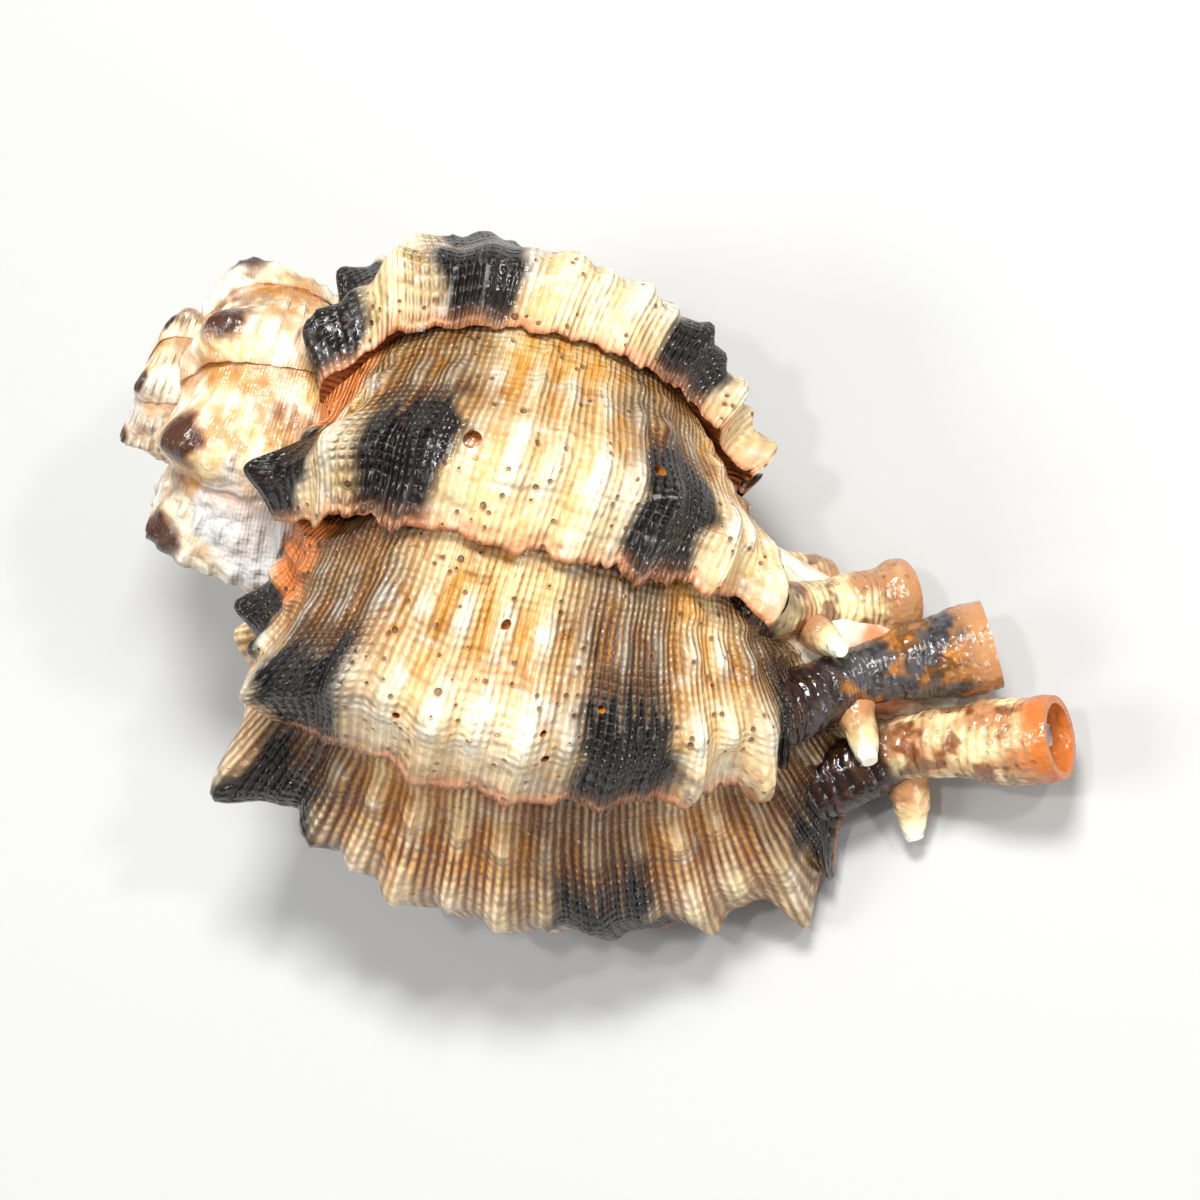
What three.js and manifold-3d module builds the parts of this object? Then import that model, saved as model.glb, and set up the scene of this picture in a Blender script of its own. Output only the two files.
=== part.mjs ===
// A murex shell with many varices, ninety millimetres from its worn apex to the tip of its siphonal canal.
//
// The animal builds the shell in steps. Each growth step adds about an eighth of a turn of whorl, thickens its
// edge into a frilled varix, leaves a short canal spout behind, and the next step starts underneath that edge.
// Every step is the same shape, larger by a constant ratio and turned on round the coiling axis, so one step is
// described once, at the size of the last one, and the shell is the union of them all.
//
// Growth space: along = distance down the coiling axis from the apex, radius = distance from that axis, and
// lean = distance out of the half plane of a step, towards the back of the shell. All are in millimetres at the
// size of the last step. Turn counts whorls, 0 at the last varix and negative before it.
import * as THREE from "three";
import Module from "manifold-3d";

const wasm = await Module();
wasm.setup();

// Driving dimensions.
const EXPANSION = 2.0; // every size grows by this in one whorl
const STEP_ANGLE = 44; // degrees from one varix to the next at the lip
const STEP_SLOWING = 0.33; // extra degrees a step spans for each step before it, twice over
const LAST_ANGLE = THREE.MathUtils.degToRad(91); // where the last varix stands round the axis
const STEPS = 18; // growth steps before the worn apex
const FULL_STEPS = 9; // steps of the body whorl, modelled with more points
const VARIX_HEIGHT = 4.0; // a varix over the whorl it stands on
const VARIX_REACH = 1.9; // how far its edge overhangs the next step
const SLANT_AT_LIP = -8 / 360; // how far the last varix turns back from its suture to its neck, in whorls
const SLANT_BEFORE = 0.26; // extra slant for each whorl before it
const MOST_SLANT = -42 / 360;
const SHOULDER_LEAD = 0.06; // how far the shoulder of an earlier varix runs ahead of the rest of it, in whorls
const TILT = 0.07; // each whorl lies a little askew, lower on the back of the shell
const SCALLOP = 0.9; // depth of the scallops along that edge
const SCALLOPS = 15; // scallops along one edge
const CORD_HEIGHT = 0.7; // spiral cords that run round the whorl
const CORDS = 5;
const STEP_OVERLAP = 0.12; // share of a step that lies buried in the step before
const MARGIN_TURN = 18 / 360; // thin lip that grew past the last varix
const CAVITY_TURN = 0.7; // how far the hollow runs back from the aperture
const HOLLOW_MIDDLE = new THREE.Vector2(56, 18.5); // along, radius
const DEEP_WALL = 0.12; // how far the hollow draws in to its middle away from the aperture
const WORN_AT = 8.6; // the tip of the spire is worn away above this height
const WORN_SOFTNESS = 2.2;
const APEX = [[7.4, 2.2], [9.0, 3.8], [11.5, 5.0], [14, 4.4]]; // along, thickness
const WORN_FLAT = 0.35; // depth worn off the points that the shell rests on

// The pose in which the shell lies on its aperture, as turns about X, then Y.
const REST_ROLL = THREE.MathUtils.degToRad(1.9);
const REST_PITCH = THREE.MathUtils.degToRad(18.3);

const curve = (points) =>
  new THREE.SplineCurve(points.map(([along, radius]) => new THREE.Vector2(along, radius)));

// Outline of a whorl from the suture over the shoulder and down to the neck: along, radius.
const OUTLINE = curve([
  [30.2, 12.0],
  [31.2, 17.0],
  [33.4, 21.4],
  [37.0, 25.6],
  [41.5, 28.8],
  [47.0, 30.7],
  [53.5, 31.0],
  [60.5, 29.8],
  [67.5, 27.0],
  [74.0, 22.4],
  [79.0, 17.2],
  [82.0, 12.0],
  [84.2, 8.4],
  [86.5, 5.6],
]);
const OUTLINE_TOP = 28; // where the step's two ends meet the axis
const OUTLINE_BOTTOM = 88;

// Outline of the hollow at the aperture, from its back corner round and back to it: along, radius.
const HOLLOW = curve([
  [35.6, 22.5],
  [38.6, 26.8],
  [44.0, 29.0],
  [51.0, 29.5],
  [58.0, 28.1],
  [65.0, 25.0],
  [71.5, 20.0],
  [76.0, 14.6],
  [76.5, 11.2],
  [70.5, 9.4],
  [62.5, 8.8],
  [54.0, 9.6],
  [46.0, 12.2],
  [40.0, 16.2],
  [35.6, 22.5],
]);

// Middle line of the siphonal canal: along, radius, lean, thickness.
const CANAL = [
  [68.0, 18.5, -1.0, 6.0],
  [75.0, 15.0, 0.0, 5.6],
  [81.4, 10.1, 1.6, 4.3],
  [87.0, 4.6, 3.8, 3.5],
  [92.0, 1.6, 6.4, 4.5],
  [95.5, 0.0, 8.2, 4.6],
  [98.0, -1.4, 9.6, 3.7],
];
const CANAL_BORE = 2.2; // half the width of the open end
const CANAL_SPOUTS = 4; // spouts of earlier steps that still stand

// Inner lip, the rounded pillar between the aperture and the neck.
const INNER_LIP = [
  [35.0, 19.0, -1.5, 2.4],
  [42.0, 13.6, -2.2, 2.8],
  [51.0, 9.0, -2.6, 3.0],
  [62.0, 6.6, -2.4, 3.2],
  [72.0, 7.6, -2.0, 3.2],
  [81.0, 9.2, -1.0, 3.0],
];

// The pillar that the whorls wind round, along the axis: along, thickness.
const PILLAR = [
  [36, 8.5],
  [50, 8.2],
  [62, 7.6],
  [71, 6.8],
  [78, 5.6],
  [84, 4.0],
  [89, 2.2],
];

// The slit that joins the aperture to the open end of the canal: along, radius, lean, thickness.
const SLIT = [
  [72.0, 12.5, -3.0, 2.4],
  [78.0, 11.0, -4.0, 1.5],
  [83.0, 7.4, -2.6, 1.1],
  [88.0, 3.6, 0.6, 1.1],
  [93.0, 1.2, 4.2, 1.3],
  [97.0, -0.9, 7.4, 1.5],
];

// Short spines on a varix: foot along, foot radius, tip along, tip radius, foot thickness.
const SPINES = [
  [35.0, 23.0, 29.6, 22.4, 3.6],
  [39.5, 28.6, 36.4, 32.6, 2.8],
  [50.0, 32.6, 50.4, 35.6, 2.4],
  [63.0, 30.8, 64.8, 34.0, 2.4],
  [73.0, 25.6, 76.6, 29.4, 2.4],
  [78.5, 19.5, 83.4, 23.8, 2.3],
];
const CANAL_SPINE = [86.5, 6.0, 90.4, 11.6, 1.8];
const SPINED_STEPS = 6;
const CANAL_SPINED_STEPS = 2;

const varixTurn = (step) => -(STEP_ANGLE * step + STEP_SLOWING * step * (step - 1)) / 360;
const sizeAt = (turn) => Math.pow(EXPANSION, turn);

// Wear rounds off everything above WORN_AT.
const worn = (height) => WORN_AT + WORN_SOFTNESS * Math.log1p(Math.exp((height - WORN_AT) / WORN_SOFTNESS));

// A point of growth space, at its own size and angle. The coiling axis is X, from the apex to the canal.
function grown(turn, along, radius, lean = 0) {
  const angle = LAST_ANGLE + turn * 2 * Math.PI;
  const size = sizeAt(turn);
  const across = radius * Math.sin(angle) - lean * Math.cos(angle);
  const up = radius * Math.cos(angle) + lean * Math.sin(angle);
  const askew = TILT * radius * (1 - Math.sin(angle));
  return new THREE.Vector3(worn(along * size) + askew * size, -across * size, up * size);
}

// A closed solid whose surface is like a globe's: meridians of equally many points between two shared poles.
function globe(top, meridians, bottom) {
  const rows = meridians[0].length;
  const count = meridians.length;
  const points = [top, ...meridians.flat(), bottom];
  const at = (m, r) => 1 + (m % count) * rows + r;
  const last = points.length - 1;
  const faces = [];
  for (let m = 0; m < count; m++) {
    faces.push([0, at(m, 0), at(m + 1, 0)]);
    faces.push([last, at(m + 1, rows - 1), at(m, rows - 1)]);
    for (let r = 0; r + 1 < rows; r++) {
      faces.push([at(m, r), at(m, r + 1), at(m + 1, r)]);
      faces.push([at(m + 1, r), at(m, r + 1), at(m + 1, r + 1)]);
    }
  }
  const mesh = new wasm.Mesh({
    numProp: 3,
    vertProperties: new Float32Array(points.flatMap((p) => p.toArray())),
    triVerts: new Uint32Array(faces.flat()),
  });
  const solid = new wasm.Manifold(mesh);
  if (solid.volume() > 0) return solid;
  for (const face of faces) face.reverse();
  mesh.triVerts = new Uint32Array(faces.flat());
  return new wasm.Manifold(mesh);
}

const smooth = THREE.MathUtils.smoothstep;

// How much of the varix stands at a share of the outline: little at the suture and in the neck.
const varixShare = (share) => smooth(share, 0.02, 0.24) * (1 - 0.85 * smooth(share, 0.82, 0.94));

function slant(turn, share) {
  const shoulder = Math.max(0.2, 0.42 + 0.75 * turn);
  const lead = Math.min(SHOULDER_LEAD, -turn / 2) * (1 - smooth(share, shoulder - 0.22, shoulder));
  return Math.max(MOST_SLANT, SLANT_AT_LIP + SLANT_BEFORE * turn) * (share - 0.4) + lead;
}

// How far a step's surface has risen towards its varix.
const rise = (part) =>
  0.12 * smooth(part, 0, 0.3) + 0.88 * smooth(part, 0.3, 0.86) - 0.12 * smooth(part, 0.86, 1);

const cordLift = (share) => Math.cos(2 * Math.PI * (CORDS * (share - 0.16) / 0.8)) * CORD_HEIGHT;

// One growth step: its surface from under the last varix to its own edge, then the face below that edge.
function growthStep(step, rows, parts) {
  const end = varixTurn(step);
  const start = varixTurn(step + 1);
  const shares = Array.from({ length: rows }, (_, r) => (r + 0.5) / rows);
  const spots = shares.map((share) => OUTLINE.getPointAt(share));
  const outward = shares.map((share) => {
    const t = OUTLINE.getTangentAt(share);
    return new THREE.Vector2(-t.y, t.x);
  });
  const meridian = (turn, lift, forward) =>
    shares.map((share, r) => {
      const height = lift(share);
      const along = spots[r].x + outward[r].x * height;
      const radius = Math.max(0.4, spots[r].y + outward[r].y * height);
      return grown(turn + slant(end, share) + forward(share) / (2 * Math.PI * radius), along, radius);
    });
  const still = () => 0;
  const surface = parts.map((part) =>
    meridian(
      THREE.MathUtils.lerp(start, end, part),
      (share) => {
        const risen = part < 0 ? -1.5 : rise(part);
        return varixShare(share) * VARIX_HEIGHT * risen + (part < 0 ? 0 : cordLift(share) * (0.35 + 0.65 * part));
      },
      (share) => {
        const frill = SCALLOP * Math.abs(Math.sin(Math.PI * SCALLOPS * share));
        return part === 1 ? varixShare(share) * (VARIX_REACH + frill) : 0;
      },
    ),
  );
  const under = meridian(end, (share) => varixShare(share) * VARIX_HEIGHT * 0.35 - 0.5, (share) => 0.4 * varixShare(share));
  const inner = meridian(end, () => -2.5, still);
  const top = grown(end, OUTLINE_TOP, 0);
  const bottom = grown(end, OUTLINE_BOTTOM, 0);
  const axis = shares.map((share) => top.clone().lerp(bottom, share));
  return globe(top, [axis, ...surface, under, inner], bottom);
}

// The thin lip that had grown past the last varix. It starts inside the hollow, which then trims it to a wall.
function lipMargin(rows) {
  const spots = Array.from({ length: rows }, (_, r) => [(r + 0.5) / rows, OUTLINE.getPointAt((r + 0.5) / rows)]);
  const ring = (turn, depth) =>
    spots.map(([share, spot]) => grown(turn + slant(0, share), spot.x, Math.max(0.4, spot.y * (1 - depth))));
  const rings = [ring(0, 0.4), ring(-MARGIN_TURN, 0.01), ring(0, 0.01), ring(MARGIN_TURN, 0.03)];
  const ends = [OUTLINE.getPointAt(0), OUTLINE.getPointAt(1)];
  return globe(grown(slant(0, 0), ends[0].x, ends[0].y * 0.8), rings, grown(slant(0, 1), ends[1].x, ends[1].y * 0.8));
}

// A closed tube through points with a thickness each, round ended. Each point is a Vector4.
function tube(points, sides) {
  const line = new THREE.CatmullRomCurve3(points.map((p) => new THREE.Vector3(p.x, p.y, p.z)));
  const rings = Math.round(1.5 * points.length);
  const frames = line.computeFrenetFrames(rings);
  const spots = Array.from({ length: rings + 1 }, (_, i) => {
    const centre = line.getPointAt(i / rings);
    const t = line.getUtoTmapping(i / rings) * (points.length - 1);
    const k = Math.min(points.length - 2, Math.floor(t));
    return { centre, radius: THREE.MathUtils.lerp(points[k].w, points[k + 1].w, t - k), i };
  });
  const meridians = Array.from({ length: sides }, (_, m) => {
    const angle = (2 * Math.PI * m) / sides;
    return spots.map(({ centre, radius, i }) =>
      centre
        .clone()
        .addScaledVector(frames.normals[i], radius * Math.cos(angle))
        .addScaledVector(frames.binormals[i], radius * Math.sin(angle)),
    );
  });
  return globe(spots[0].centre, meridians, spots[rings].centre);
}

const place = (turn, [along, radius, lean, thickness]) => {
  const p = grown(turn, along, radius, lean);
  return new THREE.Vector4(p.x, p.y, p.z, thickness * sizeAt(turn));
};

const canalSpout = (step) => tube(CANAL.map((row) => place(varixTurn(step), row)), 8);

// The open end of a spout, bored back from just past its tip.
function canalBore(step) {
  const turn = varixTurn(step);
  const [neck, bend, tip] = CANAL.slice(-3).map((row) => place(turn, row));
  const past = tip.clone().multiplyScalar(2).sub(bend);
  return tube([neck, bend, tip, past].map((p) => p.setW(CANAL_BORE * sizeAt(turn))), 8);
}

// A spine is a cone with a blunt tip, four sided.
function spine(turn, [footAlong, footRadius, tipAlong, tipRadius, thickness]) {
  const foot = grown(turn, footAlong, footRadius - 2.5, 1.0);
  const tip = grown(turn, tipAlong, tipRadius, -0.6);
  const axis = tip.clone().sub(foot).normalize();
  const side = new THREE.Vector3(0, 0, 1).cross(axis).normalize();
  const other = axis.clone().cross(side);
  const size = sizeAt(turn);
  const meridians = Array.from({ length: 4 }, (_, m) => {
    const out = side
      .clone()
      .multiplyScalar(Math.cos((Math.PI * m) / 2))
      .addScaledVector(other, Math.sin((Math.PI * m) / 2));
    return [0, 0.9].map((t) =>
      foot
        .clone()
        .lerp(tip, t)
        .addScaledVector(out, thickness * size * (t ? 0.3 : 1)),
    );
  });
  return globe(foot, meridians, tip);
}

// The hollow winds back from the aperture, shrinking as the whorl does. Deeper in, the wall is thicker.
function hollow() {
  const rings = 16;
  const ringAt = (turn) =>
    Array.from({ length: 18 }, (_, m) => {
      const inward = DEEP_WALL * (1 - smooth(turn, -0.07, MARGIN_TURN));
      const spot = HOLLOW.getPointAt(m / 18).lerp(HOLLOW_MIDDLE, inward);
      return grown(turn, spot.x, spot.y);
    });
  const turns = Array.from({ length: rings + 1 }, (_, i) => 2 * MARGIN_TURN - (i / rings) * CAVITY_TURN);
  const loops = turns.map(ringAt);
  const meridians = Array.from({ length: 18 }, (_, m) => loops.map((loop) => loop[m]));
  const middle = (loop) => loop.reduce((sum, p) => sum.add(p), new THREE.Vector3()).divideScalar(loop.length);
  return globe(middle(loops[0]), meridians, middle(loops[rings]));
}

// The worn apex: a blunt knob over the first step that is modelled.
const apex = () => tube(APEX.map(([along, thickness]) => new THREE.Vector4(along, 0, 0, thickness)), 12);

const pillar = () => tube(PILLAR.map(([along, thickness]) => new THREE.Vector4(along, 0, 0, thickness)), 10);
const slit = () => tube(SLIT.map((row) => place(0, row)), 6);

const BODY_PARTS = [-STEP_OVERLAP, 0, 0.42, 0.72, 0.88, 1];
const SPIRE_PARTS = [-STEP_OVERLAP, 0, 0.45, 0.75, 1];

function shellSolid() {
  const pieces = [lipMargin(19), apex(), pillar(), tube(INNER_LIP.map((row) => place(0, row)), 8)];
  for (let step = 0; step < STEPS; step++) {
    const body = step < FULL_STEPS;
    pieces.push(growthStep(step, body ? 20 : 9, body ? BODY_PARTS : SPIRE_PARTS));
    if (step < CANAL_SPOUTS) pieces.push(canalSpout(step));
    if (step < SPINED_STEPS) for (const row of SPINES) pieces.push(spine(varixTurn(step), row));
    if (step < CANAL_SPINED_STEPS) pieces.push(spine(varixTurn(step), CANAL_SPINE));
  }
  const whole = wasm.Manifold.union(pieces);
  const opened = wasm.Manifold.difference([whole, hollow(), slit(), ...[0, 1, 2].map(canalBore)]);
  // Without the pinholes left closed in between one step and the next.
  return opened.decompose().sort((a, b) => b.volume() - a.volume())[0];
}

function geometryOf(solid) {
  const made = solid.getMesh();
  return new THREE.BufferGeometry()
    .setAttribute("position", new THREE.BufferAttribute(made.vertProperties, 3))
    .setIndex(new THREE.BufferAttribute(made.triVerts, 1));
}

function solidOf(geometry) {
  const { position } = geometry.attributes;
  return new wasm.Manifold(
    new wasm.Mesh({ numProp: 3, vertProperties: position.array, triVerts: geometry.index.array }),
  );
}

// Turned to lie on its aperture, with the points that touch the ground worn flat there.
function rested(solid) {
  const lying = geometryOf(solid).rotateX(REST_ROLL).rotateY(REST_PITCH);
  lying.computeBoundingBox();
  const { min, max } = lying.boundingBox;
  lying.translate(-(min.x + max.x) / 2, -(min.y + max.y) / 2, -min.z - WORN_FLAT);
  const corners = [[-1, -1], [1, -1], [1, 1], [-1, 1]];
  const edges = corners.map(([x, y]) => [-10, 0].map((z) => new THREE.Vector3(90 * x, 90 * y, z)));
  const ground = globe(new THREE.Vector3(0, 0, -10), edges, new THREE.Vector3(0, 0, 0));
  return geometryOf(solidOf(lying).subtract(ground));
}

const shellFinish = new THREE.MeshStandardMaterial({ color: 0xd9b98a, roughness: 0.35, metalness: 0 });
const shell = new THREE.Mesh(rested(shellSolid()), shellFinish);
shell.name = "shell";

const murex = new THREE.Group();
murex.add(shell);

export default murex;
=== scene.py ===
"""A murex shell, grown step by step from one rule, with its banded finish and a plain studio stage."""
import math

import bpy
from mathutils import Matrix, Vector


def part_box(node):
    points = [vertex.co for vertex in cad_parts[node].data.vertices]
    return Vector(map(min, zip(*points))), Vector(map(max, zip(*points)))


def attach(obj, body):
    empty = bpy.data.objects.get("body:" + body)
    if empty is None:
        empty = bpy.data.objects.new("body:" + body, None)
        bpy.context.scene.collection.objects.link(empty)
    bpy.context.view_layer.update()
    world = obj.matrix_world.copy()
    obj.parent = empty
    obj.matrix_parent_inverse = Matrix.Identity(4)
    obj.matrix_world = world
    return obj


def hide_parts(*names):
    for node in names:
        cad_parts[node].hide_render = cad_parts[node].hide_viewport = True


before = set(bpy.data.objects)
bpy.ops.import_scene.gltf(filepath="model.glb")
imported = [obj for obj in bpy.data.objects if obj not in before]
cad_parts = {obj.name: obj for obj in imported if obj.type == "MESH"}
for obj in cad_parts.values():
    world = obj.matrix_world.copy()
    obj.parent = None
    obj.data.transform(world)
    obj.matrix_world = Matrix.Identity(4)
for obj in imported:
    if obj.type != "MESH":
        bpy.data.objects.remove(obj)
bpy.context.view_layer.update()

bl_info = {
    "name": "Murex shell",
    "version": (1, 0, 0),
    "blender": (4, 5, 0),
    "location": "View3D > Sidebar > Murex",
    "description": "Grows a murex shell from a spiral rule and gives it its finish and a stage",
    "category": "Add Mesh",
}

NODE_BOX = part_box("shell")

# The growth rule. Lengths are in millimetres at the size of the last step.
EXPANSION = 2.0
STEP_ANGLE = 44.0
STEP_SLOWING = 0.33
LAST_ANGLE = 91.0
STEPS = 18
BODY_STEPS = 9
SLANT_AT_LIP = -8.0 / 360.0
SLANT_BEFORE = 0.26
SHOULDER_LEAD = 0.06
MOST_SLANT = -42.0 / 360.0
TILT = 0.07
WORN_AT = 8.6
WORN_SOFTNESS = 2.2
MARGIN_TURN = 18.0 / 360.0
CAVITY_TURN = 0.7
HOLLOW_MIDDLE = (56.0, 18.5)
DEEP_WALL = 0.12

# How many of each there are along the whole outline, and the share at which the first cord lies.
CORDS = 9.6
FIRST_CORD = 0.085
FINE_CORDS = 36
SCALLOPS = 19
TEETH = 47
LIP_FRILLS = 40
THREADS = 104
# Growth lines over one step, and rings along a canal spout.
GROWTH_LINES = 30
SPOUT_RINGS = 34

# The pose in which it lies, and where the coiling axis starts, from the low corner of the part's box.
REST_ROLL = math.radians(1.9)
REST_PITCH = math.radians(18.3)
AXIS_START = Vector((-6.335, 35.524, 30.260))

# Outline of a whorl from the suture over the shoulder and down to the neck: along the axis, away from it.
OUTLINE = [
    (30.2, 12.0), (31.2, 17.0), (33.4, 21.4), (37.0, 25.6), (41.5, 28.8), (47.0, 30.7), (53.5, 31.0),
    (60.5, 29.8), (67.5, 27.0), (74.0, 22.4), (79.0, 17.2), (82.0, 12.0), (84.2, 8.4), (86.5, 5.6),
]
OUTLINE_TOP = 28.0
OUTLINE_BOTTOM = 88.0
HOLLOW = [
    (35.6, 22.5), (38.6, 26.8), (44.0, 29.0), (51.0, 29.5), (58.0, 28.1), (65.0, 25.0), (71.5, 20.0),
    (76.0, 14.6), (76.5, 11.2), (70.5, 9.4), (62.5, 8.8), (54.0, 9.6), (46.0, 12.2), (40.0, 16.2), (35.6, 22.5),
]
# Lines with a thickness each: along, away, lean towards the back of the shell, thickness.
CANAL = [
    (68.0, 18.5, -1.0, 5.6), (75.0, 15.0, 0.0, 5.3), (81.4, 10.1, 1.6, 4.1), (87.0, 4.6, 3.8, 3.4),
    (92.0, 1.6, 6.4, 4.3), (95.5, 0.0, 8.2, 4.6), (98.0, -1.4, 9.6, 4.0),
]
INNER_LIP = [
    (35.0, 19.0, -1.5, 2.2), (42.0, 13.6, -2.2, 2.7), (51.0, 9.0, -2.6, 2.9), (62.0, 6.6, -2.4, 3.1),
    (72.0, 7.6, -2.0, 3.1), (81.0, 9.2, -1.0, 2.8),
]
PILLAR = [
    (36, 0, 0, 8.5), (50, 0, 0, 8.2), (62, 0, 0, 7.6), (71, 0, 0, 6.8), (78, 0, 0, 5.6), (84, 0, 0, 4.0),
    (89, 0, 0, 2.2),
]
SLIT = [
    (72.0, 12.5, -3.0, 2.2), (78.0, 11.0, -4.0, 1.4), (83.0, 7.4, -2.6, 1.0), (88.0, 3.6, 0.6, 1.0),
    (93.0, 1.2, 4.2, 1.2), (97.0, -0.9, 7.4, 1.5),
]

# What a face belongs to, kept in the second map's first number.
OUTER, EDGE, INSIDE, SPOUT, COLUMN, TIP, HOLE, BORE, SPINE = 0, 1, 2, 3, 4, 5, 6, 7, 8


def varix_turn(step):
    return -(STEP_ANGLE * step + STEP_SLOWING * step * (step - 1)) / 360.0


def shares_of(points):
    """Each point of a line with its share of the line's length."""
    total = [0.0]
    for a, b in zip(points, points[1:]):
        total.append(total[-1] + math.dist(a[:3], b[:3]))
    return [t / total[-1] for t in total]


class Net:
    """A node tree that is written as calls."""

    def __init__(self, tree):
        self.tree = tree

    def node(self, kind, settings=None, inputs=None, output=0):
        made = self.tree.nodes.new(kind)
        for name, value in (settings or {}).items():
            if name == "points":
                self.shape_curve(made.mapping, value)
            else:
                setattr(made, name, value)
        entries = inputs.items() if isinstance(inputs, dict) else enumerate(inputs or [])
        for key, value in entries:
            if value is None:
                continue
            socket = made.inputs[key]
            if isinstance(value, (list, tuple)) and value and isinstance(value[0], Field):
                for each in value:
                    self.tree.links.new(each.socket, socket)
            elif isinstance(value, Field):
                self.tree.links.new(value.socket, socket)
            else:
                socket.default_value = value
        return Field(self, made.outputs[output])

    @staticmethod
    def shape_curve(mapping, points):
        curve = mapping.curves[0]
        for x, y in points[1:-1]:
            curve.points.new(x, y)
        for point, (x, y) in zip(curve.points, points):
            point.location = (x, y)
        mapping.update()

    def lay(self):
        """Spread the nodes so that the tree can be read."""
        for place, node in enumerate(self.tree.nodes):
            node.location = (220 * (place // 12), -190 * (place % 12))


class Field:
    """A socket that sums, products and comparisons can be written on."""

    def __init__(self, net, socket):
        self.net, self.socket = net, socket

    def math(self, operation, *values):
        return self.net.node("ShaderNodeMath", {"operation": operation}, list(values))

    def __add__(self, other):
        return self.math("ADD", self, other)

    __radd__ = __add__

    def __mul__(self, other):
        return self.math("MULTIPLY", self, other)

    __rmul__ = __mul__

    def __sub__(self, other):
        return self.math("SUBTRACT", self, other)

    def __rsub__(self, other):
        return self.math("SUBTRACT", other, self)

    def __truediv__(self, other):
        return self.math("DIVIDE", self, other)

    def __pow__(self, other):
        return self.math("POWER", self, other)

    def __gt__(self, other):
        return self.math("GREATER_THAN", self, other)

    def __lt__(self, other):
        return self.math("LESS_THAN", self, other)

    def __neg__(self):
        return self.math("MULTIPLY", self, -1.0)

    def sin(self):
        return self.math("SINE", self)

    def cos(self):
        return self.math("COSINE", self)

    def abs(self):
        return self.math("ABSOLUTE", self)

    def sqrt(self):
        return self.math("SQRT", self)

    def exp(self):
        return self.math("EXPONENT", self)

    def log(self):
        return self.math("LOGARITHM", self, math.e)

    def floor(self):
        return self.math("FLOOR", self)

    def least(self, other):
        return self.math("MINIMUM", self, other)

    def most(self, other):
        return self.math("MAXIMUM", self, other)

    def clamp(self):
        return self.net.node("ShaderNodeClamp", {}, [self])

    def step(self, low, high):
        """Rises smoothly from 0 at low to 1 at high; low may be the greater."""
        settings = {"interpolation_type": "SMOOTHSTEP", "clamp": True}
        if isinstance(low, (int, float)) and isinstance(high, (int, float)) and low > high:
            return 1.0 - self.step(high, low)
        return self.net.node("ShaderNodeMapRange", settings, {0: self, 1: low, 2: high})

    def peak(self, centre, width):
        """A round hill of height 1."""
        away = (self - centre) / width
        return (away * away * -1.0).exp()

    def mix(self, low, high):
        """low where this is 0, high where it is 1."""
        return low + self * (high - low)

    def curve(self, points):
        return self.net.node("ShaderNodeFloatCurve", {"points": points}, {1: self})


SOCKET_KINDS = {float: "NodeSocketFloat", int: "NodeSocketInt", type(None): "NodeSocketMaterial"}


def open_tree(name, inputs):
    """A new node tree with these named inputs; one with no value takes a material."""
    tree = bpy.data.node_groups.new(name, "GeometryNodeTree")
    tree.interface.new_socket("Geometry", in_out="OUTPUT", socket_type="NodeSocketGeometry")
    for label, value in inputs.items():
        socket = tree.interface.new_socket(label, in_out="INPUT", socket_type=SOCKET_KINDS[type(value)])
        if value is not None:
            socket.default_value = value
    net = Net(tree)
    entry = tree.nodes.new("NodeGroupInput")
    return net, {label: Field(net, entry.outputs[label]) for label in inputs}


def close_tree(net, geometry):
    out = net.tree.nodes.new("NodeGroupOutput")
    net.tree.links.new(geometry.socket, out.inputs[0])
    net.lay()
    return net.tree


def vector(net, x, y, z):
    return net.node("ShaderNodeCombineXYZ", {}, [x, y, z])


def noise(net, place, scale, detail=2.0, kind="3D"):
    """Fractal noise about 0, roughly from -1 to 1."""
    settings = {"noise_dimensions": kind}
    made = net.node("ShaderNodeTexNoise", settings, {"Vector": place, "Scale": scale, "Detail": detail})
    return (made - 0.5) * 2.0


def store(net, geometry, name, x, y):
    """Keep two values of each point as a UV map."""
    settings = {"data_type": "FLOAT_VECTOR", "domain": "POINT"}
    at_points = net.node("GeometryNodeFieldOnDomain", settings, {"Value": vector(net, x, y, 0.0)})
    settings = {"data_type": "FLOAT2", "domain": "CORNER"}
    values = {"Geometry": geometry, "Name": name, "Value": at_points}
    return net.node("GeometryNodeStoreNamedAttribute", settings, values)


def grown_place(net, turn, along, away, lean=0.0):
    """The place of a point of the growing edge, at its own size and angle."""
    size = net.node("ShaderNodeMath", {"operation": "POWER"}, [EXPANSION, turn])
    angle = turn * (2 * math.pi) + math.radians(LAST_ANGLE)
    worn = (((along * size - WORN_AT) / WORN_SOFTNESS).exp() + 1.0).log()
    across = away * angle.sin() - lean * angle.cos()
    up = away * angle.cos() + lean * angle.sin()
    askew = away * (1.0 - angle.sin()) * TILT * size
    return vector(net, worn * WORN_SOFTNESS + WORN_AT + askew, -(across * size), up * size)


def slant(turn, share):
    """How far a varix runs ahead at its suture and behind at its neck; its shoulder runs ahead further."""
    shoulder = (turn * 0.75 + 0.42).most(0.2)
    lead = (turn * -0.5).least(SHOULDER_LEAD) * (1.0 - (share - shoulder).step(-0.22, 0.0))
    return (turn * SLANT_BEFORE + SLANT_AT_LIP).most(MOST_SLANT) * (share - 0.4) + lead


def slant_at(turn, share):
    """The same, as a plain number."""
    return max(turn * SLANT_BEFORE + SLANT_AT_LIP, MOST_SLANT) * (share - 0.4)


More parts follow.
